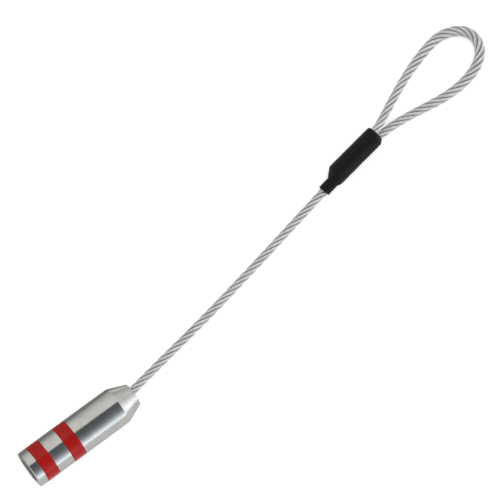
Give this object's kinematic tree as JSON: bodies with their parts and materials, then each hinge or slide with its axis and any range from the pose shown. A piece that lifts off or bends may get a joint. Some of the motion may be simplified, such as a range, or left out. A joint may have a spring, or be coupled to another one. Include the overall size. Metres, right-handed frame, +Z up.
{
  "type": "wire pulling grip",
  "caption": "Reusable conductor-pulling grip: steel socket barrel with socket set screws and colour bands, swivelling on a wire-rope lanyard with a swaged eye in black heat shrink.",
  "frame": {"origin": "centre of the barrel's open mouth, on the barrel's axis", "axes": "+X along the barrel from its mouth to its nose and on towards the lanyard, +Z up; the grip lies on its side on the level z = -14 mm"},
  "size_m": [0.447, 0.0987, 0.028],
  "materials": {
    "plated_steel": "bright plating over fine turning marks",
    "band_red": "gloss enamel",
    "black_oxide": "black oxide",
    "sleeve_steel": "swaged, satin",
    "galvanised_wire": "galvanised strand, satin",
    "ferrule_aluminium": "swaged, satin",
    "heat_shrink_black": "matte polyolefin"
  },
  "bodies": {
    "barrel": {"barrel": "plated_steel", "color_band_front": "band_red", "color_band_rear": "band_red"},
    "screw_front": {"set_screw_front": "black_oxide"},
    "screw_rear": {"set_screw_rear": "black_oxide"},
    "lanyard": {"stop_sleeve": "sleeve_steel", "wire_rope": "galvanised_wire", "crimp_ferrule": "ferrule_aluminium", "heat_shrink_sleeve": "heat_shrink_black"}
  },
  "joints": [
    {"name": "lanyard_swivel", "type": "hinge", "parent": "barrel", "child": "lanyard", "pos_m": [0.07, 0, 0], "axis": [1, 0, 0], "continuous": true},
    {"name": "set_screw_front_travel", "type": "slide", "parent": "barrel", "child": "screw_front", "axis": [0, 0.866, -0.5], "range_m": [-0.0025, 0.004]},
    {"name": "set_screw_rear_travel", "type": "slide", "parent": "barrel", "child": "screw_rear", "axis": [0, 0.866, -0.5], "range_m": [-0.0025, 0.004]}
  ]
}
